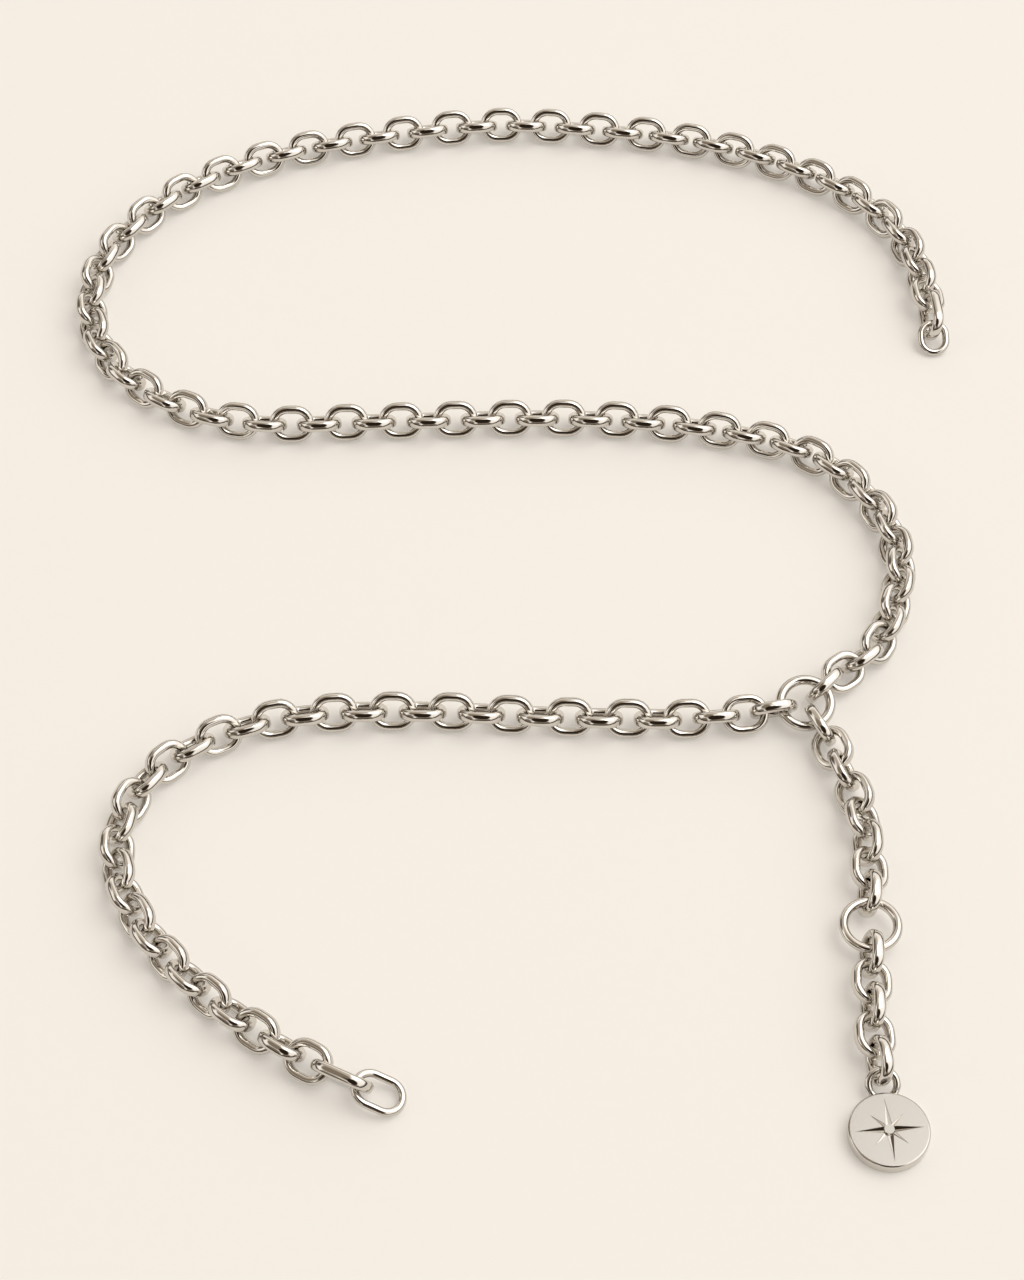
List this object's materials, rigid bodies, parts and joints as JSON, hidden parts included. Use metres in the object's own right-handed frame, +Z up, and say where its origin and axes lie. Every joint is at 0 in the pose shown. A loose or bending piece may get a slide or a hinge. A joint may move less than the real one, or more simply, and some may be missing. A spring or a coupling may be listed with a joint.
{
  "type": "waist chain",
  "caption": "Waist chain of chunky polished oval links laid in an S, with a junction ring, a short drop and a round pendant cut with a compass star.",
  "frame": {"origin": "centre of the laid-out chain's outline, on the surface it lies on", "axes": "+Z up from the surface, +Y from the pendant's side towards the top row of the S, +X to the right as seen with the pendant nearest"},
  "size_m": [0.2308, 0.3204, 0.0095],
  "materials": {
    "polished_steel": "mirror-polished stainless steel wire",
    "satin_steel": "satin face with a polished rim and loop"
  },
  "bodies": {
    "root": {"upper_end_link": "polished_steel", "upper_chain": "polished_steel", "middle_chain": "polished_steel", "junction_ring": "polished_steel", "lower_chain": "polished_steel", "lower_end_link": "polished_steel", "drop_chain": "polished_steel", "drop_ring": "polished_steel", "pendant_chain": "polished_steel", "compass_pendant": "satin_steel"}
  },
  "joints": []
}
